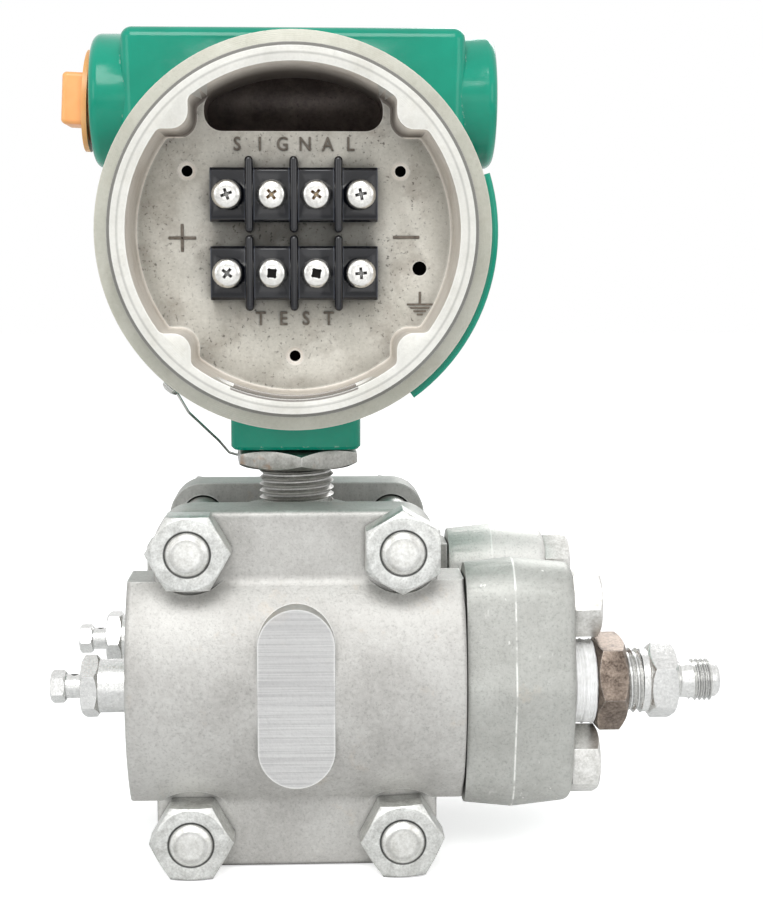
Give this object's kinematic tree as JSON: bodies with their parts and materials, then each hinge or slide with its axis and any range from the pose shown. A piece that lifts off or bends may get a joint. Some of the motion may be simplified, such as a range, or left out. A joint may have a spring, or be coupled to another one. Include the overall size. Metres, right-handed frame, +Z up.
{
  "type": "differential pressure transmitter",
  "caption": "Field transmitter: sensing cell clamped between two process flanges, with vents, port adapters and a swivelling electronics housing with open terminal compartment.",
  "frame": {"origin": "on the vertical axis of the neck that the housing turns on, at the height of the plane that both process flanges stand on", "axes": "+X along the process ports, out of the flange adapters; +Y from the terminal side to the electronics side; +Z up along the neck"},
  "size_m": [0.1731, 0.1074, 0.2147],
  "materials": {
    "cast_steel": "sand-cast stainless steel, bead blasted, machined at the seats",
    "module_steel": "turned stainless steel",
    "foil": "thin rolled stainless foil",
    "cell": "ground steel cup",
    "ptfe": "white fluoropolymer",
    "plated_bolt": "plated hexagon bolt",
    "plated_nut": "plated hexagon nut",
    "adapter_steel_front": "cast stainless steel, darker",
    "adapter_steel_rear": "cast stainless steel, lighter",
    "bronze_bushing": "brown oxidised hexagon bushing",
    "bright_fitting": "bright turned stainless steel",
    "vent_steel": "bright turned stainless steel",
    "green_paint": "glossy green paint over an aluminium casting, bare where machined",
    "black_phenolic": "glossy black moulding",
    "screw_nickel": "nickel plated screw",
    "orange_plastic": "translucent orange moulding",
    "seal_rubber": "black rubber ring",
    "board": "green glass-fibre board",
    "board_parts": "moulded electronic parts",
    "standoff": "brass standoff",
    "wire": "bare steel wire",
    "glass_seal": "glass-sealed pin"
  },
  "bodies": {
    "sensor_body": {"front_process_flange": "cast_steel", "rear_process_flange": "cast_steel", "sensor_module": "module_steel", "threaded_neck": "module_steel", "sensing_diaphragm": "foil", "front_cell_half": "cell", "rear_cell_half": "cell", "front_isolating_diaphragm": "foil", "rear_isolating_diaphragm": "foil", "front_flange_gasket": "ptfe", "rear_flange_gasket": "ptfe", "flange_bolts": "plated_bolt", "flange_nuts": "plated_nut", "front_flange_adapter": "adapter_steel_front", "rear_flange_adapter": "adapter_steel_rear", "front_adapter_gasket": "ptfe", "rear_adapter_gasket": "ptfe", "adapter_bolts": "plated_bolt", "thread_seal_tape": "ptfe", "reducer_bushing": "bronze_bushing", "tube_connector": "bright_fitting", "front_vent_body": "vent_steel", "rear_vent_body": "vent_steel"},
    "front_vent_stem": {"front_vent_stem": "vent_steel"},
    "rear_vent_stem": {"rear_vent_stem": "vent_steel"},
    "lock_nut": {"lock_nut": "plated_nut"},
    "electronics_housing": {"housing_casting": "green_paint", "terminal_feedthroughs": "glass_seal", "signal_terminal_strip": "black_phenolic", "test_terminal_strip": "black_phenolic", "signal_terminal_screws": "screw_nickel", "test_terminal_screws": "screw_nickel", "conduit_plug": "orange_plastic", "rear_cover_seal": "seal_rubber", "amplifier_board": "board", "calibration_board": "board", "board_posts": "standoff", "board_screws": "screw_nickel", "board_components": "board_parts", "tag_wire": "wire", "tag_screw": "wire"},
    "rear_cover": {"rear_cover": "green_paint"}
  },
  "joints": [
    {"name": "front_vent_turn", "type": "hinge", "parent": "sensor_body", "child": "front_vent_stem", "pos_m": [-0.05, -0.027, 0.0464], "axis": [1, 0, 0], "range_deg": [0, 360]},
    {"name": "rear_vent_turn", "type": "hinge", "parent": "sensor_body", "child": "rear_vent_stem", "pos_m": [-0.05, 0.027, 0.0464], "axis": [1, 0, 0], "range_deg": [0, 360]},
    {"name": "lock_nut_turn", "type": "hinge", "parent": "sensor_body", "child": "lock_nut", "pos_m": [0, 0, 0.103], "axis": [0, 0, 1], "range_deg": [0, 360]},
    {"name": "housing_swivel", "type": "hinge", "parent": "sensor_body", "child": "electronics_housing", "pos_m": [0, 0, 0.112], "axis": [0, 0, 1], "range_deg": [-90, 90]},
    {"name": "rear_cover_off", "type": "slide", "parent": "electronics_housing", "child": "rear_cover", "axis": [0, 1, 0], "range_m": [0, 0.06]}
  ]
}
